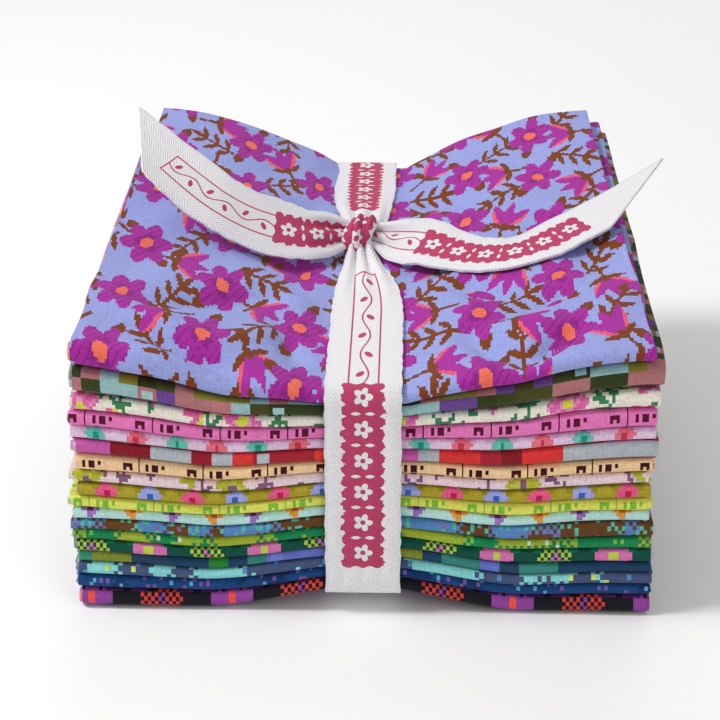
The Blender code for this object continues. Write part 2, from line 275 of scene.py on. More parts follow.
def repeated(x, y, width, height, drop=0.5):
    # place within a tile, and the tile's column and row
    column = (x / width).floor()
    y = y + (column % 2.0) * (drop * height)
    row = (y / height).floor()
    return x - (column + 0.5) * width, y - (row + 0.5) * height, column, row


def turned(x, y, angle):
    if isinstance(angle, Field):
        c, s = angle.cos(), angle.sin()
    else:
        c, s = math.cos(math.radians(angle)), math.sin(math.radians(angle))
    return x * c + y * s, y * c - x * s


def oval(x, y, centreX, centreY, halfX, halfY, angle=0.0):
    x, y = turned(x - centreX, y - centreY, angle)
    x, y = x / halfX, y / halfY
    return (x * x + y * y) < 1.0


def block(x, y, halfX, halfY):
    return (abs(x) < halfX) * (abs(y) < halfY)


def blossom(x, y, radius, petals, notch):
    reach = x.maths("SQRT", x * x + y * y)
    turn = x.maths("ARCTAN2", y, x)
    petal = abs((turn * (petals / 2)).cos())
    return reach < (petal * notch + (1 - notch)) * radius


def leaf(x, y, start, end, half):
    # along x, pointed at both ends
    t = (x - start) / (end - start)
    return abs(y) < (t - t * t) * (4 * half)


# Prints

def gardenPrint(s, x, y, p):
    # six-petal blossoms, with fan-shaped buds and leafy sprigs in the gaps between them
    x, y = stitched(x, p["stitch"]), stitched(y / p.get("stretch", 1.0), p["stitch"])
    width, height, radius = p["width"], p["height"], p["radius"]
    small = radius * 0.96

    def tossed(shiftX, shiftY, seed):
        # place within one motif's tile, each motif turned and moved in its own way
        mx, my, column, row = repeated(x + shiftX, y + shiftY, width, height)
        mx = mx + (s.chance(column, row, seed) - 0.5) * (radius * 0.3)
        my = my + (s.chance(column, row, seed + 1) - 0.5) * (radius * 0.3)
        return turned(mx, my, s.chance(column, row, seed + 2) * fullTurn)

    fx, fy = tossed(width * 0.5, height * -0.25, 10.0)
    side = abs(fy)
    sprig = block(fx + small * 0.1, fy, small * 0.95, small * 0.07)
    sprig = sprig | leaf(fx, side, small * 0.5, small * 1.3, small * 0.14)
    for start in (-0.8, -0.2, 0.4):
        lx, ly = turned(fx - small * start, side, 48.0)
        sprig = sprig | leaf(lx, ly, 0.0, small * 0.8, small * 0.12)
    colour = s.paint(p["ground"], p["fern"], sprig)

    bx, by = tossed(width * 0.5, height * 0.25, 20.0)
    side = abs(by)
    outerX, outerY = turned(bx + small * 0.2, side, 34.0)
    lowX, lowY = turned(bx + small * 0.3, side, 68.0)
    outerPetal = leaf(outerX, outerY, 0.0, small * 1.4, small * 0.27)
    petals = leaf(bx, side, small * -0.3, small * 1.2, small * 0.22) | outerPetal
    colour = s.paint(colour, p["petal"], petals)
    colour = s.paint(colour, p["edge"], outerPetal * (outerY > small * 0.1))
    brown = leaf(lowX, lowY, 0.0, small * 0.8, small * 0.13)
    brown = brown | block(bx + small * 0.7, by, small * 0.5, small * 0.07)
    brown = brown | oval(bx, by, small * -0.2, 0.0, small * 0.22, small * 0.16)
    colour = s.paint(colour, p["fern"], brown)

    px, py = tossed(0.0, 0.0, 30.0)
    colour = s.paint(colour, p["fern"], leaf(abs(px), py, radius * 0.7, radius * 1.4, radius * 0.22))
    petals = blossom(px, py, radius, 6.0, 0.42)
    hatch = ((x + y) % (p["stitch"] * 4)) < p["stitch"] * 0.9
    colour = s.paint(colour, p["petal"], petals)
    colour = s.paint(colour, p["inner"], petals * (hatch | blossom(px, py, radius * 0.45, 3.0, 0.6)))
    return s.paint(colour, p["centre"], oval(px, py, 0.0, 0.0, radius * 0.2, radius * 0.28))


def blockPrint(s, x, y, p):
    # plain blocks in rows, some of them double
    row = (y / p["height"]).floor()
    x = x + s.chance(row, 0.0, 2.0) * (p["width"] * 4)
    column = (x / p["width"]).floor()
    pair = (column / 2.0).floor()
    double = s.chance(pair, row, 4.0) < p["doubles"]
    single = s.chance(column, row, 6.0)
    joined = s.chance(pair, row, 8.0)
    pick = single + (joined - single) * double
    colour = s.add("ShaderNodeValToRGB", {"stops": p["colours"]}, {0: pick})
    inset = (s.chance(column, row, 9.0) > 0.82) * (1 - double)
    lx = x - (column + 0.5) * p["width"]
    ly = y - (row + 0.5) * p["height"]
    return s.paint(colour, p["inset"], inset * block(lx, ly, p["width"] * 0.3, p["height"] * 0.3))


def brickPrint(s, x, y, p):
    # thin lines laid like bricks, with two clusters of small squares in each
    lx, ly, column, row = repeated(y, x, p["height"], p["width"])
    lx, ly = ly, lx
    edge = p["line"]
    lines = (abs(lx) > p["width"] / 2 - edge) | (abs(ly) > p["height"] / 2 - edge)
    step = p["stitch"]
    dx, dy = stitched(lx, step), stitched(ly, step)
    squares = s.chance((lx / step).floor(), (ly / step).floor(), 5.0) > 0.42
    cluster = block(abs(dx) - p["width"] * 0.22, dy, p["reach"], step * 1.2)
    colour = s.paint(p["ground"], p["mark"], cluster * squares)
    return s.paint(colour, p["mark"], lines)


def sprigPrint(s, x, y, p):
    # small four-petal flowers in two colours by turns, with a pair of leaves
    x, y = stitched(x, p["stitch"]), stitched(y, p["stitch"])
    lx, ly, column, row = repeated(x, y, p["width"], p["height"], 0.0)
    turn = (column + row) % 2.0
    size = p["size"]
    flower = blossom(lx, ly, size, 4.0, 0.5)
    if p.get("checked"):
        checks = ((x / p["stitch"]).floor() + (y / p["stitch"]).floor()) % 2.0
        flower = flower * (1 - turn * checks)
    leaves = oval(abs(lx) - size * 1.05, ly + size * 0.55, 0.0, 0.0, size * 0.5, size * 0.3)
    heart = block(lx, ly, size * 0.24, size * 0.24)
    first, second = [s.paint(petal, centre, heart) for petal, centre in p["flowers"]]
    petals = s.paint(first, second, turn)
    colour = s.paint(p["ground"], p["leaf"], leaves)
    return s.paint(colour, petals, flower)


def patchPrint(s, x, y, p):
    # stepped patches of a second colour, checkered at their rims, with scattered stitches
    column, row = (x / p["stitch"]).floor(), (y / p["stitch"]).floor()
    checks = (column + row) % 2.0
    shade = s.noise(column * p["stitch"], row * p["stitch"], p["patch"], 1.0, 3.0)
    patches = (shade > p["level"]) | ((shade > p["level"] - p["rim"]) * checks)
    colour = s.paint(p["ground"], p["second"], patches)
    dice = s.chance(column, row, 2.0)
    colour = s.paint(colour, p["speck"], dice > p["specks"])
    return s.paint(colour, p["fleck"], dice < p["flecks"])


# what all the cottons share as cloth; lengths in millimetres
cottonFinish = {
    "reverse": "#ece6ea",   # the print is paler on the reverse side
    "reverseShare": 0.3,
    # base tone of the lower cottons, set darker than the top cotton's 0.42: painted shade on the
    # stack's fold faces between the cottons
    "tone": 0.38,
    "slub": 0.3,
    "slubSize": 0.7,
    "speck": 0.4,
    "speckSize": 0.45,
    "cloud": 0.12,
    "cloudSize": 26.0,
    "threadStep": 0.42,
    "bump": 0.5,
    "bumpDepth": 0.14,
    "Roughness": 0.9,
    "Sheen Weight": 0.05,
    "Sheen Roughness": 0.5,
    "Specular IOR Level": 0.15,
}


def cottonMaterial(name, cotton):
    s, f = Surface(name), cottonFinish
    x, y, reverse = s.cloth()
    shiftX, shiftY = cotton.get("shift", (0.0, 0.0))
    colour = cotton["print"](s, x + shiftX, y + shiftY, cotton)
    colour = s.paint(colour, f["reverse"], reverse * f["reverseShare"])
    # slubs and fading of a printed plain weave, and painted shade: the lower cottons get a darker
    # base tone than the top one
    slub = s.noise(x * 0.2, y, f["slubSize"], 3.0) + s.noise(x, y * 0.2, f["slubSize"], 3.0, 7.0)
    speck = s.noise(x, y, f["speckSize"], 1.0, 2.0) * f["speck"]
    cloud = s.noise(x, y, f["cloudSize"], 2.0, 4.0) * f["cloud"]
    amount = slub * f["slub"] + speck + cloud + cotton.get("tone", f["tone"])
    s.feed(s.shader.inputs["Base Color"], s.tone(colour, amount))
    # threads over and under
    thread = fullTurn / f["threadStep"]
    weave = (x * thread).sin() * (y * thread).sin()
    height = weave * 0.5 + s.noise(x, y, 1.3, 3.0, 9.0)
    s.clothFinish(f, height)
    return s.material


# The cottons, from the lowest up. Thick is at the left side, under the tape and at the right, and
# the top one fills the room up to topSheet. Edges are where it ends at the left and the right,
# and front is how far its fold stands out. A flower has a petal and a heart colour.
cottons = [
    {"node": "cotton_18_black", "thick": (6.0, 3.4, 5.4), "edges": (-75.9, 76.1), "front": 1.0,
     "print": sprigPrint, "stitch": 0.95, "width": 19.0, "height": 11.0, "size": 5.9,
     "checked": True, "ground": "#1b1a22", "leaf": "#5d2a6c",
     "flowers": [("#9a4aa4", "#ff5b4d"), ("#e0483f", "#9a4aa4")], "shift": (7.0, 5.6)},
    {"node": "cotton_17_navy", "thick": (4.0, 2.9, 3.3), "edges": (-76.8, 76.6), "front": 0.4,
     "print": patchPrint, "stitch": 0.9, "patch": 9.0, "level": 0.6, "rim": 0.05, "specks": 0.94,
     "flecks": 0.03, "ground": "#1d4a86", "second": "#173a70", "speck": "#8a5fb0",
     "fleck": "#63b7d8"},
    {"node": "cotton_16_slate", "thick": (3.7, 2.9, 3.1), "edges": (-76.8, 76.8), "front": 0.8,
     "print": patchPrint, "stitch": 1.2, "patch": 15.0, "level": 0.56, "rim": 0.05, "specks": 0.98,
     "flecks": 0.01, "ground": "#4a5a80", "second": "#8fe0e0", "speck": "#5b95cf",
     "fleck": "#d8e86a"},
    {"node": "cotton_15_block_green", "thick": (3.1, 2.9, 3.4), "edges": (-76.2, 76.2), "front": 0.0,
     "print": blockPrint, "width": 5.2, "height": 3.9, "doubles": 0.55, "inset": "#7f8ce0",
     "colours": ["#2c4a66", "#3f9a7c", "#6f7fd8", "#20486a", "#8f9a38", "#2f8a3a", "#3d8f86"],
     "shift": (0.0, 1.9)},
    {"node": "cotton_14_dark_green", "thick": (3.6, 3.1, 4.0), "edges": (-77.0, 76.4), "front": 0.6,
     "print": sprigPrint, "stitch": 0.9, "width": 15.5, "height": 9.0, "size": 4.6, "checked": True,
     "ground": "#0f5244", "leaf": "#0a7a55",
     "flowers": [("#e079b8", "#c8dc4c"), ("#b7d24a", "#e079b8")], "shift": (3.0, 4.6)},
    {"node": "cotton_13_green", "thick": (3.2, 2.9, 3.2), "edges": (-77.7, 76.6), "front": 0.2,
     "print": patchPrint, "stitch": 0.95, "patch": 13.0, "level": 0.55, "rim": 0.07, "specks": 0.95,
     "flecks": 0.01, "ground": "#1c8f57", "second": "#a9bc3a", "speck": "#7ed04a",
     "fleck": "#dff3d8"},
    {"node": "cotton_12_brown", "thick": (3.3, 3.0, 4.6), "edges": (-77.6, 76.3), "front": 0.7,
     "print": patchPrint, "stitch": 0.95, "patch": 12.0, "level": 0.54, "rim": 0.05, "specks": 0.86,
     "flecks": 0.03, "ground": "#6b4423", "second": "#5b8cc6", "speck": "#5cc0aa",
     "fleck": "#8e6a9c"},
    {"node": "cotton_11_aqua", "thick": (3.3, 3.0, 3.1), "edges": (-77.0, 75.4), "front": 0.1,
     "print": sprigPrint, "stitch": 0.8, "width": 10.8, "height": 7.6, "size": 2.7,
     "ground": "#c4efe9", "leaf": "#a9dcd6",
     "flowers": [("#f0a245", "#d2602a"), ("#a678c8", "#5a2e86")], "shift": (2.0, 5.6)},
    {"node": "cotton_10_lime", "thick": (3.6, 3.1, 3.7), "edges": (-77.2, 74.9), "front": 0.5,
     "print": brickPrint, "width": 17.5, "height": 6.6, "line": 0.16, "stitch": 0.85, "reach": 3.0,
     "ground": "#e8ea66", "mark": "#7fc540", "shift": (3.0, 3.3)},
    {"node": "cotton_09_mustard", "thick": (3.6, 3.2, 4.0), "edges": (-75.4, 75.0), "front": 0.9,
     "print": sprigPrint, "stitch": 0.8, "width": 11.4, "height": 7.4, "size": 3.0,
     "ground": "#b2a22e", "leaf": "#9c8e22",
     "flowers": [("#ee5c8e", "#c41f52"), ("#a3abea", "#3a66b8")], "shift": (5.0, 3.7)},
    {"node": "cotton_08_blush", "thick": (3.8, 3.1, 3.2), "edges": (-77.0, 74.8), "front": 0.2,
     "print": gardenPrint, "stitch": 0.8, "width": 19.0, "height": 13.0, "radius": 4.6,
     "ground": "#f6dfe6", "petal": "#b9be35", "inner": "#c9cc50", "centre": "#8e5f82",
     "edge": "#dcc6de", "fern": "#8e5f82", "shift": (6.0, 6.0)},
    {"node": "cotton_07_peach", "thick": (4.9, 3.3, 3.9), "edges": (-75.3, 75.6), "front": 0.6,
     "print": brickPrint, "width": 17.0, "height": 7.6, "line": 0.18, "stitch": 0.85, "reach": 3.0,
     "ground": "#fbd3a2", "mark": "#43121c", "shift": (8.0, 3.8)},
    {"node": "cotton_06_red", "thick": (4.1, 3.2, 5.1), "edges": (-75.6, 75.8), "front": 0.8,
     "print": blockPrint, "width": 5.4, "height": 4.4, "doubles": 0.5, "inset": "#c3c6cc",
     "colours": ["#8c1c28", "#e8413c", "#b02838", "#b9c0c6", "#cf5fae", "#9e1f2e", "#e23a3a"],
     "shift": (2.0, 2.2)},
    {"node": "cotton_05_lilac", "thick": (4.0, 3.0, 3.7), "edges": (-76.0, 75.3), "front": 0.1,
     "print": sprigPrint, "stitch": 0.8, "width": 10.6, "height": 7.6, "size": 2.8,
     "ground": "#efd2ec", "leaf": "#e6c0e2",
     "flowers": [("#f0788a", "#d83a4c"), ("#6fcdb8", "#1f9a8c")], "shift": (1.0, 3.8)},
    {"node": "cotton_04_pink", "thick": (4.4, 3.1, 5.5), "edges": (-76.2, 75.1), "front": 0.9,
     "print": brickPrint, "width": 17.6, "height": 8.4, "line": 0.18, "stitch": 0.85, "reach": 3.0,
     "ground": "#ee7fc2", "mark": "#5e1230", "shift": (2.0, 4.6)},
    {"node": "cotton_03_cream", "thick": (4.7, 3.1, 4.8), "edges": (-75.5, 75.8), "front": 0.3,
     "print": gardenPrint, "stitch": 0.85, "width": 21.0, "height": 13.0, "radius": 5.4,
     "ground": "#f6f1e2", "petal": "#ec6db2", "inner": "#f29ccb", "centre": "#dfe24a",
     "edge": "#dfe24a", "fern": "#3f8a5a", "shift": (0.0, 6.5)},
    {"node": "cotton_02_olive", "thick": (7.6, 3.3, 7.9), "edges": (-75.1, 76.4), "front": 1.0,
     "print": blockPrint, "width": 4.9, "height": 3.5, "doubles": 0.3, "inset": "#a9cfcf",
     "colours": ["#3c4420", "#b96f72", "#8a8434", "#36401e", "#b7787a", "#9cc4c4", "#c07c80",
                 "#6f4a96", "#4a4a22"], "shift": (0.0, 1.2)},
    # the top cotton keeps the lighter base tone; the lower ones are darkened as painted shade
    {"node": "cotton_01_periwinkle", "edges": (-75.0, 74.0), "front": 1.2,
     "print": gardenPrint, "stitch": 0.58, "stretch": 1.75, "width": 24.5, "height": 22.0,
     "radius": 7.7, "ground": "#9da6e2", "petal": "#ab2f9e", "inner": "#93248a",
     "centre": "#f2745c", "edge": "#e9607a", "fern": "#7e3f16", "shift": (6.0, 2.0), "tone": 0.42},
]


# Shape of the stack

def smoothStep(value):
    value = np.clip(value, 0.0, 1.0)
    return value * value * (3 - 2 * value)


def ripple(x, y, seed, length):
    # soft unevenness between -1 and 1
    dice = random.Random(seed)
    total = np.zeros(np.broadcast(x, y).shape)
    for wave in range(5):
        heading = dice.uniform(0, math.pi)
        step = fullTurn / (length * dice.uniform(0.7, 1.5))
        phase = dice.uniform(0, fullTurn)
        total = total + np.sin((x * math.cos(heading) + y * math.sin(heading)) * step + phase)
    return total / 3.2


def fadeFromTape(x, y, backPower):
    # 0 at the tape and 1 at the sides
    share = (np.abs(x) - stack["flatHalf"]) / (stack["halfWidth"] - stack["flatHalf"])
    share = np.clip(share, 0.0, 1.0)
    along = y / stack["halfDepth"]
    frontPower = np.where(x < 0, stack["powerFrontLeft"], stack["powerFrontRight"])
    endPower = np.where(along < 0, frontPower, backPower)
    power = stack["powerMiddle"] + (endPower - stack["powerMiddle"]) * along * along
    return 1 - (1 - share) ** power


def underside(x, y):
    along = y / stack["halfDepth"]
    lift = stack["archMiddle"] + (stack["archEnd"] - stack["archMiddle"]) * along * along
    reach = np.maximum(np.abs(x), stack["flatHalf"])
    return smoothStep(1 - reach / stack["archHalf"]) * lift


def cottonHeight(cotton, x, y):
    left, pressed, right = cotton["thick"]
    side = np.where(x < 0, left, right * stack["rightGain"])
    fade = fadeFromTape(x, y, stack["powerBack"])
    along = y / stack["halfDepth"]
    fade = fade + (1 - fade) * stack["middleRelax"] * (1 - along * along)
    gain = 1 + stack["backGain"] * fade * (0.5 + 0.5 * along)
    pressed = pressed * stack["tapeGain"]
    return (pressed + (side - pressed) * fade) * gain


def level(count, x, y):
    # height of the face between two cottons, with so many below it
    height = underside(x, y)
    for cotton in cottons[:count]:
        height = height + cottonHeight(cotton, x, y)
    if count in (0, len(cottons) - 1):
        return height
    free = smoothStep((np.abs(x) - stack["flatHalf"]) / 14)
    return height + stack["waviness"] * free * ripple(x, y, 100 + count, 34)


def softFold(x, y, fold):
    centreX, centreY, heading, length, width, depth = fold
    c, s = math.cos(math.radians(heading)), math.sin(math.radians(heading))
    along = (x - centreX) * c + (y - centreY) * s
    across = (y - centreY) * c - (x - centreX) * s
    return depth * np.exp(-(along / length) ** 2 - (across / width) ** 2)


def topLevel(x, y):
    # upper face of the top cotton, low along the tape, with wings that rise to the corners
    along = y / stack["halfDepth"]
    end = np.where(along < 0, topSheet["tapeFront"], topSheet["tapeBack"])
    low = topSheet["tapeMiddle"] + (end - topSheet["tapeMiddle"]) * along * along
    high = topSheet["sideFront"]
    high = high + (topSheet["sideBack"] - high) * (0.5 + 0.5 * along)
    height = low + (high - low) * fadeFromTape(x, y, topSheet["powerBack"])
    free = smoothStep((np.abs(x) - stack["flatHalf"]) / 10)
    folds = topSheet["unevenness"] * ripple(x, y, 900, 26)
    for fold in topSheet["troughs"]:
        folds = folds - softFold(x, y, fold)
    for fold in topSheet["ridges"]:
        folds = folds + softFold(x, y, fold)
    return height + free * folds * topSheet["foldGain"]


# Folded cottons

# points across each third and along each layer; the sheet on top shows, so it has more
gridRows = {
    "top": {"outer": 150, "inner": 60, "upper": 110, "crowd": 0.3, "bend": 14, "under": 26},
    "lower": {"outer": 60, "inner": 36, "upper": 22, "crowd": 0.75, "bend": 11, "under": 16},
}


folding = {
    "round": (0.45, 1.3, 3.6),  # front fold: share of the height, least, most
    "leastHeight": 2.4,
    "roundness": (0.72, 0.9),
    "backBulge": 0.6,
    "pressHalf": 13.0,          # how far the tape presses the fold in
    "press": 0.5,
    "frontWander": 0.35,
    "pitch": (0.24, 0.62),      # from ply to ply, least and most
    "slip": (-0.7, 0.5),        # how far a ply ends inside or outside the stack's side
    "edgeWander": 0.35,
    "edgeLift": 0.16,
    "backRows": 5,
    "insideRows": 14,
}


def acrossRows(outer, inner):
    # one third back and forth on the next, from the hidden raw edge to the one on top:
    # share from left to right, which ply, how far a bend stands out
    rows = [(share, -1.0, 0.0) for share in np.linspace(1, 0, inner)]
    bend = [math.radians(a) for a in (-60, -30, 0, 30, 60)]
    rows += [(0.0, -0.5 + 0.5 * math.sin(a), -math.cos(a)) for a in bend]
    rows += [(share, 0.0, 0.0) for share in np.linspace(0, 1, inner)]
    rows += [(1.0, 0.5 + 0.5 * math.sin(a), math.cos(a)) for a in bend]
    rows += [(share, 1.0, 0.0) for share in np.linspace(1, 0, outer)]
    return [np.array(column)[:, None] for column in zip(*rows)]


def layerRows(count, crowd):
    # rows along a layer from 0 to 1, closer together at its ends by a share
    even = np.linspace(0, 1, count)[None, :]
    return even - crowd * np.sin(fullTurn * even) / fullTurn


def floorAt(index, x, y):
    return level(index, x, y) + (stack["gap"] if index else 0.0)


def roofAt(index, x, y):
    top = index == len(cottons) - 1
    return topLevel(x, y) if top else level(index + 1, x, y)


def layerPath(index, x, rowCounts, midShare):
    # from the raw edge on top round the front fold, back below, and in between the two:
    # y, z and which layer, for each row of points
    height = np.maximum(roofAt(index, x, -90.0) - floorAt(index, x, -90.0), folding["leastHeight"])
    shareRound, leastRound, mostRound = folding["round"]
    foldRound = np.clip(height * shareRound, leastRound, mostRound)
    foldY = -stack["halfDepth"] + foldRound
    front = cottons[index]["front"] + folding["frontWander"] * ripple(x, 0.0, 300 + index, 30)
    front = front - folding["press"] * np.exp(-(x / folding["pressHalf"]) ** 4)
    back = stack["backRow"]

    def layerThickness(y):
        return stack["layerShare"] * (roofAt(index, x, y) - floorAt(index, x, y))

    def topOf(y):
        return roofAt(index, x, y) - layerThickness(y) / 2

    def bottomOf(y):
        return floorAt(index, x, y) + layerThickness(y) / 2

    def midOf(y):
        return bottomOf(y) + (topOf(y) - bottomOf(y)) * midShare

    ys, zs, layer = [], [], []

    def lay(y, z, name):
        y, z = np.broadcast_arrays(y, z)
        ys.append(y)
        zs.append(z)
        layer.extend([name] * y.shape[1])

    rows = layerRows(rowCounts["upper"], rowCounts["crowd"])
    y = stack["rawEdge"] + (foldY - stack["rawEdge"]) * rows
    lay(y, topOf(y), 2)
    turn = np.radians(np.linspace(78, -78, rowCounts["bend"]))[None, :]
    upper, lower = topOf(foldY), bottomOf(foldY)
    depth = foldRound + front - layerThickness(foldY) / 2
    outward, upward = folding["roundness"]
    y = foldY - depth * np.abs(np.cos(turn)) ** outward
    z = (upper - lower) / 2 * np.sign(turn) * np.abs(np.sin(turn)) ** upward
    lay(y, (upper + lower) / 2 + z, 1)
    y = foldY + (back - foldY) * layerRows(rowCounts["under"], 0.5)
    lay(y, bottomOf(y), 0)
    turn = np.radians(np.linspace(-72, 72, folding["backRows"]))[None, :]
    lower, upper = bottomOf(back), midOf(back)
    y = back + (upper - lower) * folding["backBulge"] * np.cos(turn) + 0.0 * x
    lay(y, (upper + lower) / 2 + (upper - lower) / 2 * np.sin(turn), 0)
    y = back + (stack["insideEdge"] - back) * layerRows(folding["insideRows"], 0.4) + 0.0 * x
    lay(y, midOf(y), 1)
    return np.concatenate(ys, axis=1), np.concatenate(zs, axis=1), np.array(layer)[None, :]


def flatPlaces(x, z, middleY, middleZ, rowCounts):
    # place on the flat cloth: 0, 0 is the middle of the front fold on the outer ply
    outer = rowCounts["outer"]
    foldAt = rowCounts["upper"] + rowCounts["bend"] // 2
    step = np.hypot(np.diff(x, axis=0), np.diff(z, axis=0)).mean(axis=1)
    u = np.concatenate([[0.0], np.cumsum(step)])
    middle = np.interp(0.0, x[-outer:, foldAt][::-1], u[-outer:][::-1])
    step = np.hypot(np.diff(middleY, axis=1), np.diff(middleZ, axis=1))
    v = np.concatenate([np.zeros((len(x), 1)), np.cumsum(step, axis=1)], axis=1)
    v = v - v[:, foldAt:foldAt + 1]
    u = (middle - u)[:, None] + 0.0 * v
    return np.stack([u, v, 0.0 * u], axis=-1)


def foldCotton(index, cotton):
    top = index == len(cottons) - 1
    rowCounts = gridRows["top" if top else "lower"]
    share, ply, bend = acrossRows(rowCounts["outer"], rowCounts["inner"])
    dice = random.Random(index + 40)
    left, right = cotton["edges"]
    x = left + (right - left) * share
    x = np.where(np.abs(x) < 1e-6, 1e-6, x)
    midShare = topSheet["middleShare"] if top else 0.5
    y0, z0, layer = layerPath(index, x, rowCounts, midShare)
    alongY, alongZ = np.gradient(y0, axis=1), np.gradient(z0, axis=1)
    length = np.maximum(np.hypot(alongY, alongZ), 1e-6)
    height = roofAt(index, x, y0) - floorAt(index, x, y0)
    pitch = np.clip(height * stack["layerShare"] / 3, *folding["pitch"])
    y = y0 + ply * pitch * alongZ / length
    z = z0 - ply * pitch * alongY / length

    # plies end a little apart at the sides, and their edges wander and lift
    slip = {(p, l): dice.uniform(*folding["slip"]) for p in (-1, 0, 1) for l in (0, 1, 2)}
    nearest = np.clip(np.round(ply), -1, 1)
    jitter = np.zeros_like(y)
    for (p, l), value in slip.items():
        jitter = np.where((nearest == p) & (layer == l), value, jitter)
    side = np.where(share < 0.5, -1.0, 1.0)
    edgeShare = np.abs(share - 0.5) * 2
    uneven = ripple(y, layer * 31.0 + nearest * 17.0, 500 + index, 40)
    wander = jitter + folding["edgeWander"] * uneven
    xOut = x + side * wander * edgeShare ** 6 + bend * pitch * 0.55
    lift = ripple(y, layer * 13.0, 700 + index, 46) * folding["edgeLift"] * edgeShare ** 14
    z = z + lift * np.where(z > 1.0, 1.0, 0.0)
    if top:
        depthShare = (y0 + stack["halfDepth"]) / (2 * stack["halfDepth"])
        raised = (z0 - floorAt(index, x, y0)) / height
        xOut = xOut * (1 - topSheet["narrowing"] * depthShare * smoothStep(2 * raised - 1))
    z = np.maximum(z, stack["clothThickness"] / 2 + 0.02)
    return np.stack([xOut, y, z], axis=-1), flatPlaces(xOut, z, y0, z0, rowCounts)


def closedSheet(grid, place, thickness, ring=False):
    # a grid of points as a thin closed sheet; in a ring, the last row meets the first
    rows, columns = grid.shape[:2]
    under = rows * columns
    ids = np.arange(under).reshape(rows, columns)
    along = np.gradient(grid, axis=0)
    if ring:
        ids = np.concatenate([ids, ids[:1]])
        along = (np.roll(grid, -1, axis=0) - np.roll(grid, 1, axis=0)) / 2
    normal = np.cross(along, np.gradient(grid, axis=1))
    normal /= np.maximum(np.linalg.norm(normal, axis=-1, keepdims=True), 1e-9)
    half = normal * thickness / 2
    points = np.concatenate([(grid + half).reshape(-1, 3), (grid - half).reshape(-1, 3)])
    places = place.reshape(-1, 3)
    places = np.concatenate([places, places + (0.0, 0.0, 1.0)])
    quads = np.stack([ids[:-1, :-1], ids[1:, :-1], ids[1:, 1:], ids[:-1, 1:]], -1).reshape(-1, 4)
    edges = [(ids[1:, 0], ids[:-1, 0]), (ids[:-1, -1], ids[1:, -1])]
    if not ring:
        edges += [(ids[0, :-1], ids[0, 1:]), (ids[-1, 1:], ids[-1, :-1])]
    rims = [np.stack([start, end, end + under, start + under], -1) for start, end in edges]
    return points, np.concatenate([quads, quads[:, ::-1] + under, *rims]), places


looseThreads = [
    {"count": 44, "share": 0.8, "length": (0.6, 1.9), "size": 0.08},
    {"count": 2, "share": 0.35, "length": (2.0, 5.0), "size": 0.13},
]


def threads(starts, places, dice, length, size):
    # loose three-sided threads that leave an edge and curl down
    rings, corners, inside = 6, 3, 0.6
    points, faces, marks = [], [], []
    for start, place in zip(starts, places):
        way = Vector((math.copysign(1.0, start[0]), dice.uniform(-1.2, 1.2), dice.uniform(-0.9, 0.5)))
        way.normalize()
        spot = Vector(start) - way * inside
        bend = Vector((dice.uniform(-0.5, 0.5), dice.uniform(-0.6, 0.6), dice.uniform(-0.75, 0.1)))
        step = dice.uniform(*length) / (rings - 1)
        base = len(points)
        for ring in range(rings):
            side = way.cross(Vector((0.2, 0.3, 1.0))).normalized()
            other = way.cross(side)
            for corner in range(corners):
                turn = corner * fullTurn / corners
                offset = side * math.cos(turn) + other * math.sin(turn)
                points.append(spot + offset * (size / 2))
                marks.append(place)
            way = (way + bend * 0.35).normalized()
            spot = spot + way * step
            spot.z = max(spot.z, size)
        last = len(points) - corners
        for ring in range(base, last, corners):
            for corner in range(corners):
                a, b = ring + corner, ring + (corner + 1) % corners
                faces.append((a, b, b + corners, a + corners))
        faces.append((base + 2, base + 1, base))
        faces.append((last, last + 1, last + 2))
    return points, faces, marks


# The model's own x runs from the middle of the whole box, the tables' from the middle of the tape.
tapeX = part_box("cotton_18_black")[0].x / mm - cottons[0]["edges"][0]


def addItem(name, data):
    item = bpy.data.objects.new(name, data)
    bpy.context.scene.collection.objects.link(item)
    return item


def makeMesh(name, points, faces, places, material):
    mesh = bpy.data.meshes.new(name)
    points = (np.array(points) + (tapeX, 0.0, 0.0)) * mm
    mesh.from_pydata(points.tolist(), [], faces)
    mark = mesh.attributes.new("cloth", "FLOAT_VECTOR", "POINT")
    mark.data.foreach_set("vector", np.array(places, np.float32).ravel())
    mesh.shade_smooth()
    mesh.set_sharp_from_angle(angle=math.radians(50))
    mesh.materials.append(material)
    return addItem(name, mesh)


for index, cotton in enumerate(cottons):
    node = cotton["node"]
    slot = "cotton_" + node.split("_", 2)[2]
    material = cottonMaterial(slot, cotton)
    grid, place = foldCotton(index, cotton)
    sheet = closedSheet(grid, place, stack["clothThickness"])
    points, faces, places = [part.tolist() for part in sheet]
    dice = random.Random(index + 70)
    for kind in looseThreads:
        starts = [(row, dice.randrange(grid.shape[1])) for row in (0, grid.shape[0] - 1)
                  for _ in range(kind["count"]) if dice.random() < kind["share"]]
        marks = [place[r] + (0.0, 0.0, 1.0) for r in starts]  # pale as the reverse side
        extra = threads([grid[r] for r in starts], marks, dice, kind["length"], kind["size"])
        base = len(points)
        points += [tuple(p) for p in extra[0]]
        places += [tuple(p) for p in extra[2]]
        faces += [tuple(i + base for i in f) for f in extra[1]]
    piece = makeMesh(node + "_cloth", points, faces, places, material)
    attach(piece, "root")
    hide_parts(node)


# Tape

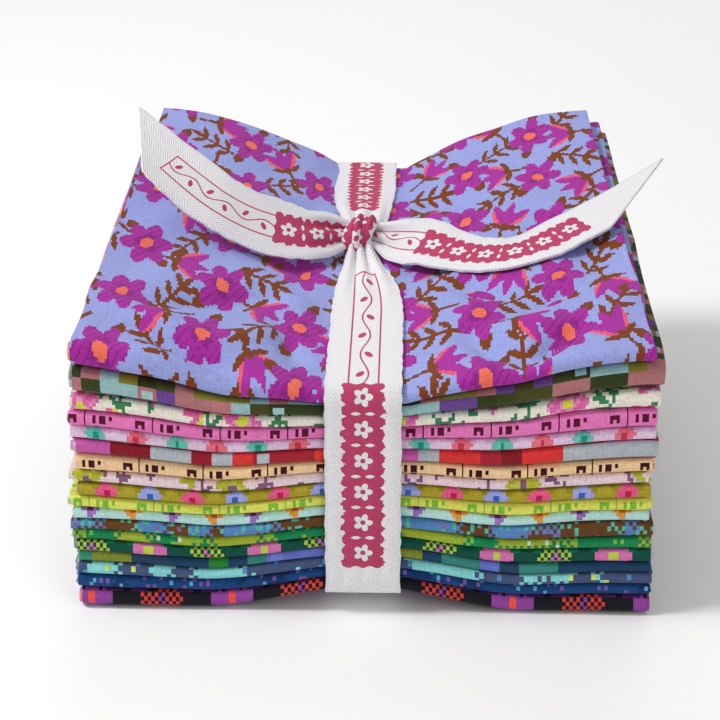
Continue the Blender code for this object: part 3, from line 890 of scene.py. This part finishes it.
tape = {
    "width": 20.0,
    "thickness": 0.7,
    "columns": 41,          # points across and along its parts, and round and along the knot
    "bandRows": 320,
    "endRows": 90,
    "knotRows": (96, 61),
    "length": 720.0,
    "knot": (-3.0, 6.0, 71.0),
    "knotHalf": (4.3, 6.3, 5.4),
    "gatherWidth": 7.0,
    "pleatDepth": 1.1,
    "gatherRise": 1.1,
    "edgeWaver": 0.16,
    "frontGather": (-45.0, 1.0, 2.2),  # starts at y, ends at y, how suddenly
    "backGather": (66.0, 13.0, 1.7),
    "front": 94.9,
    "back": 95.3,
    "above": 0.62,          # middle of the band from the cloth, on top and below
    "below": 0.6,
    "corner": 1.8,
    "lowCorner": 4.0,
    "backShift": -3.0,
    "knotPinch": 0.5,
    "knotPleats": (0.10, 0.06),
    "knotLean": (0.14, 1.1),
    "knotPrint": (6.5, 5.0, 8.0),  # half its width, mm for each radian, where it starts
    "ground": "#f3f1f4",
    "berry": "#c2205f",
    # the print: a berry stretch, then a stretch between rails, then bare tape
    "berryEnd": 54.0,
    "railsEnd": 91.0,
    "repeat": 124.0,
    "railHalf": 3.9,
    "lineHalf": 0.24,
    "motifs": 6,            # blossoms in a berry stretch, and leaves between the rails
    "blossom": 2.6,
    "eye": 0.7,
    "berryHalf": 3.6,
    "berryWave": 3.4,
    # the weave and the finish
    "herringbone": 5.0,
    "ribStep": 0.95,
    "selvedgeAt": 9.2,
    "selvedgeStep": 0.7,
    "bump": 0.7,
    "bumpDepth": 0.22,
    "Roughness": 0.85,
    "Sheen Weight": 0.05,
    "Specular IOR Level": 0.2,
    # how far along the band, and the place on the print there
    "bandPrint": [(0, 100), (19, 91), (95, 54), (149.5, 0), (405, -194), (459, -248), (520, -309)],
    # rows: middle of the tape, lean of its upper edge in degrees, width
    "left": {
        "rows": [
            (-5.0, 5.5, 71.5, 55, 7), (-10.5, 2.5, 72.9, 46, 12), (-17.7, -3.0, 74.4, 36, 17),
            (-25.2, -5.0, 76.5, 35, 20), (-35.0, -6.0, 80.1, 36, 20), (-45.0, -5.0, 85.4, 34, 20),
            (-53.2, -1.5, 90.3, 28, 20), (-60.9, 3.0, 95.4, 22, 20)],
        "cut": 19.5,
        "printStart": 27.0,
        "printWay": 1.0,
    },
    "right": {
        "rows": [
            (-1.0, 6.5, 71.5, 50, 7), (4.0, 4.0, 71.4, 40, 10), (9.0, 0.5, 71.6, 30, 16),
            (16.5, -4.0, 72.3, 18, 20), (23.3, -9.0, 72.1, 10, 20), (30.3, -13.5, 72.5, 6, 20),
            (39.0, -17.0, 74.1, 4, 20), (46.0, -17.0, 75.8, 3, 20), (53.5, -13.8, 77.5, 4, 20),
            (59.5, -10.8, 79.7, 6, 20), (65.0, -8.2, 82.1, 8, 20)],
        "cut": 31.0,
        "printStart": 72.6,
        "printWay": -1.0,
    },
}


def curveThrough(values, count):
    # a smooth path through rows of numbers, which start with a place
    values = np.array(values, float)
    steps = np.linalg.norm(np.diff(values[:, :3], axis=0), axis=1)[:, None]
    slopes = np.diff(values, axis=0) / steps
    inner = (slopes[:-1] * steps[1:] + slopes[1:] * steps[:-1]) / (steps[:-1] + steps[1:])
    tangents = np.concatenate([slopes[:1], inner, slopes[-1:]])
    ends = np.concatenate([[0.0], np.cumsum(steps)])
    places = np.linspace(0, ends[-1], count)
    i = np.clip(np.searchsorted(ends, places, side="right") - 1, 0, len(steps) - 1)
    t = (places[:, None] - ends[i][:, None]) / steps[i]
    a, b = values[i], values[i + 1]
    ta, tb = tangents[i] * steps[i], tangents[i + 1] * steps[i]
    return a + t * ta + t * t * (3 * (b - a) - 2 * ta - tb) + t ** 3 * (2 * (a - b) + ta + tb)


def stripGrid(centres, acrosses, widths, pleats, cut=0.0):
    # points over a length of tape, with pleats where it is narrower than it is cut
    tangents = np.gradient(centres, axis=0)
    tangents /= np.linalg.norm(tangents, axis=1, keepdims=True)
    acrosses = acrosses - tangents * (acrosses * tangents).sum(1, keepdims=True)
    acrosses /= np.linalg.norm(acrosses, axis=1, keepdims=True)
    normals = np.cross(tangents, acrosses)
    normals *= np.where(normals[:, 2:3] < 0, -1.0, 1.0) if cut else 1.0
    t = np.linspace(-1, 1, tape["columns"])[None, :, None]
    gather = ((tape["width"] - widths) / (tape["width"] - tape["gatherWidth"]))[:, None, None]
    gather = np.clip(gather, 0, 1)
    wave = np.cos(t * math.pi * pleats + 0.6) * gather ** 0.8
    steps = np.linalg.norm(np.diff(centres, axis=0), axis=1)
    v = np.concatenate([[0.0], np.cumsum(steps)])[:, None, None]
    waver = tape["edgeWaver"] * np.sin(v * 0.9 + 2 * np.sin(v * 0.31)) * t ** 9
    side = acrosses[:, None, :] * (t * widths[:, None, None] / 2 + waver)
    grid = centres[:, None, :] + side + normals[:, None, :] * wave * tape["pleatDepth"]
    if cut:
        lean = smoothStep((v - v.min()) / (v.max() - v.min()) * 3 - 2) * (0.5 + 0.5 * t)
        reach = tangents[-1] * cut
        grid = grid + lean * reach[None, None, :]
        v = v + lean * cut
    u = t * tape["width"] / 2
    place = np.concatenate(np.broadcast_arrays(u, v, u * 0), axis=-1)
    return grid, place


def bandPath():
    knotX, knotY, knotZ = tape["knot"]

    def over(y):
        return (0.0, y, float(topLevel(0.0, y)) + tape["above"])

    def under(y):
        return (0.0, y, float(underside(0.0, y)) - tape["below"])

    def bend(y, z, direction, begin, radius=tape["corner"]):
        centreY = y - math.copysign(radius, y)
        centreZ = z - direction * radius
        turns = [math.radians(begin + step) for step in (0, 30, 60, 90)]
        return [(0.0, centreY + math.cos(a) * radius, centreZ + math.sin(a) * radius)
                for a in turns]

    frontTop, backTop, base = over(-84.0)[2], over(84.0)[2], under(-89.0)[2]
    front, rear = tape["front"], tape["back"]
    path = [(knotX, knotY - 3, knotZ - 1.5), (knotX, 1.0, knotZ - 2.6)]
    path += [over(y) for y in (-6, -14, -22, -30, -38, -46, -56, -66, -76, -86)]
    path += bend(-front, frontTop, 1, 90)
    path += [(0.0, -front, frontTop + (base - frontTop) * share) for share in
             (0.14, 0.28, 0.42, 0.56, 0.7, 0.84)]
    path += bend(-front, base, -1, 180, tape["lowCorner"])
    path += [under(y) for y in (-80, -60, -40, -20, 0, 20, 40, 60, 80)]
    path += bend(rear, base, -1, 270)
    path += [(0.0, rear, base + (backTop - base) * share) for share in (0.2, 0.4, 0.6, 0.8)]
    path += bend(rear, backTop, 1, 0)
    path += [over(y) for y in (86, 76, 66, 56, 46, 36, 28, 20)]
    path += [(knotX, 12.5, knotZ - 2.0), (knotX, knotY + 3, knotZ - 1.5)]
    return curveThrough(path, tape["bandRows"])


def bandGrid():
    centres = bandPath()
    y, z = centres[:, 1], centres[:, 2]
    onTop = z > np.array([float(topLevel(0.0, v)) for v in y]) - 1.0
    widths = np.full(len(y), tape["width"])
    gathers = np.zeros(len(y))
    for start, end, power in (tape["frontGather"], tape["backGather"]):
        share = np.clip((y - start) / (end - start), 0, 1) ** power
        ours = (y < tape["knot"][1]) == (start < 0)
        gathers = np.where(onTop & ours, share, gathers)
    widths = widths + (tape["gatherWidth"] - widths) * gathers
    centres[:, 0] = np.where(onTop, tape["knot"][0] * gathers, centres[:, 0])
    shift = smoothStep(y / 40 - 0.3) * smoothStep(z / 50) * (1 - gathers)
    centres[:, 0] += tape["backShift"] * shift
    centres[:, 2] += gathers * tape["gatherRise"]
    across = np.zeros_like(centres)
    across[:, 0] = 1.0
    grid, place = stripGrid(centres, across, widths, 3.0)
    along, onPrint = zip(*tape["bandPrint"])
    place[..., 1] = np.interp(place[..., 1], along, onPrint)
    return grid, place


def endGrid(side):
    end = tape[side]
    table = curveThrough(end["rows"], tape["endRows"])
    lean = np.radians(table[:, 3])
    across = np.stack([0 * lean, np.cos(lean), np.sin(lean)], axis=-1)
    grid, place = stripGrid(table[:, :3], across, table[:, 4], 2.6, end["cut"])
    place[..., 1] = end["printStart"] + end["printWay"] * place[..., 1]
    if side == "left":
        return grid[:, ::-1], place[:, ::-1]  # the printed side up
    return grid, place


def knotGrid():
    # one turn of gathered tape drawn over the crossing, its edges rolled in
    aroundRows, alongRows = tape["knotRows"]
    around = np.linspace(0, fullTurn, aroundRows, endpoint=False)[:, None]
    t = np.linspace(-1, 1, alongRows)[None, :]
    halfX, halfY, halfZ = tape["knotHalf"]
    broad, fine = tape["knotPleats"]
    slant, lean = tape["knotLean"]
    printHalf, printTurn, printStart = tape["knotPrint"]
    pinch = 1 - tape["knotPinch"] * np.abs(t) ** 3.2
    pleat = broad * np.cos(t * 8.2 + 1.3 * np.sin(around)) + fine * np.cos(t * 15 - around * 2)
    size = pinch * (1 + pleat * (1 - t ** 4))
    x = halfX * (t + slant * np.sin(around + 0.4)) + lean * np.cos(around)
    y = halfY * size * np.cos(around)
    z = halfZ * size * np.sin(around)
    grid = np.stack(np.broadcast_arrays(x, y, z), axis=-1) + tape["knot"]
    place = np.broadcast_arrays(t * printHalf, around * printTurn + printStart, 0 * x)
    place = np.stack(place, axis=-1)
    return grid, place


def tapeMaterial():
    s = Surface("cotton_tape")
    x, y, reverse = s.cloth()
    berryEnd, railsEnd, half = tape["berryEnd"], tape["railsEnd"], tape["railHalf"]
    line, eye = tape["lineHalf"], tape["eye"]
    v = y % tape["repeat"]
    # a solid stretch with leafy edges, and a row of small blossoms left white in it
    ragged = abs((v * (math.pi / tape["berryWave"])).sin()) * 1.1 + s.noise(x, v, 1.1, 1.0) * 2.0
    berry = (v < berryEnd) * (abs(x) < ragged + tape["berryHalf"])
    step = berryEnd / tape["motifs"]
    place = (v % step) - step / 2
    flower = blossom(x, place, tape["blossom"], 5.0, 0.5) * (1 - oval(x, place, 0.0, 0.0, eye, eye))
    leaves = leaf(abs(x), abs(place) - step / 2, 0.5, 3.2, 0.5)
    berry = berry * (1 - (flower | leaves))
    # a leafy vine between two thin rails
    inside = (v > berryEnd) * (v < railsEnd)
    rail = abs(abs(x) - half) < line
    step = (railsEnd - berryEnd) / tape["motifs"]
    stem = abs(((v - berryEnd) * (math.pi / step)).sin() * 1.2 - x) < line
    turn = 1 - (((v - berryEnd) / step).floor() % 2.0) * 2
    place = ((v - berryEnd) % step) - step / 2
    vine = stem | oval(x * turn, place, -1.0, 0.0, 1.25, 0.7, 32.0)
    close = (abs(v - railsEnd) < line) * (abs(x) < half + line)
    lines = (inside * (rail | vine)) | close
    grain = s.noise(x, y, 0.6, 3.0)
    # herringbone twill: slanted ribs that turn back and forth across the tape
    fold = abs((x % tape["herringbone"]) - tape["herringbone"] / 2)
    ribs = ((y + fold) * (fullTurn / tape["ribStep"])).sin()
    printed = (berry | lines) * (0.95 - reverse * 0.8)  # little shows on the reverse side
    colour = s.paint(tape["ground"], tape["berry"], printed)
    s.feed(s.shader.inputs["Base Color"], s.tone(colour, grain * 0.16 + ribs * 0.03 + 0.89))
    stitches = (y * (fullTurn / tape["selvedgeStep"])).sin() * 0.8
    selvedge = (abs(x) > tape["selvedgeAt"]) * stitches
    s.clothFinish(tape, ribs * 0.6 + selvedge + s.noise(x, y, 0.7, 2.0) * 0.8)
    return s.material


tapeParts = [closedSheet(*grids, tape["thickness"])
             for grids in (bandGrid(), endGrid("left"), endGrid("right"))]
tapeParts.append(closedSheet(*knotGrid(), tape["thickness"], ring=True))
tapePoints, tapeFaces, tapePlaces = [], [], []
for points, faces, places in tapeParts:
    tapeFaces += (faces + len(tapePoints)).tolist()
    tapePoints += points.tolist()
    tapePlaces += places.tolist()
tapePiece = makeMesh("tape_tie_cloth", tapePoints, tapeFaces, tapePlaces, tapeMaterial())
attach(tapePiece, "root")
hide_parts("tape_tie")
print("tape tied")


# Floor, light and camera

def makeFloor():
    s = Surface("floor")
    s.feed(s.shader.inputs["Base Color"], look["floor"])
    s.feed(s.shader.inputs["Roughness"], 0.9)
    mesh = bpy.data.meshes.new("floor")
    half = look["floorHalf"]
    corners = [(-half, -half, 0), (half, -half, 0), (half, half, 0), (-half, half, 0)]
    mesh.from_pydata(corners, [], [(0, 1, 2, 3)])
    mesh.materials.append(s.material)
    item = addItem("floor", mesh)
    item.location.z = -0.0002  # just clear of the lowest cloth


def addLight(name, place, size, power):
    data = bpy.data.lights.new(name, "AREA")
    data.shape = "DISK"
    data.size = size
    data.energy = power
    item = addItem(name, data)
    item.location = place
    aim = Vector(look["lightAim"]) - Vector(place)
    item.rotation_euler = aim.to_track_quat("-Z", "Y").to_euler()


def addCamera():
    data = bpy.data.cameras.new("camera")
    data.lens = look["lens"]
    data.sensor_width = 36.0
    data.clip_end = 20.0
    item = addItem("camera", data)
    a, e = math.radians(look["azimuth"]), math.radians(look["elevation"])
    back = Vector((math.sin(a) * math.cos(e), -math.cos(a) * math.cos(e), math.sin(e)))
    aim = Vector(look["aim"]) + Vector((tapeX, 0, 0))
    item.location = (aim + back * look["distance"]) * mm
    item.rotation_euler = back.to_track_quat("Z", "Y").to_euler()
    bpy.context.scene.camera = item


makeFloor()
for light in look["lights"]:
    addLight(*light)
addCamera()
world = bpy.data.worlds.new("sky")
world.use_nodes = True
background = world.node_tree.nodes["Background"].inputs
background["Color"].default_value = tint(look["sky"])
background["Strength"].default_value = look["skyPower"]
bpy.context.scene.world = world
bpy.context.scene.view_settings.view_transform = "Standard"
print("floor, lights and camera placed")
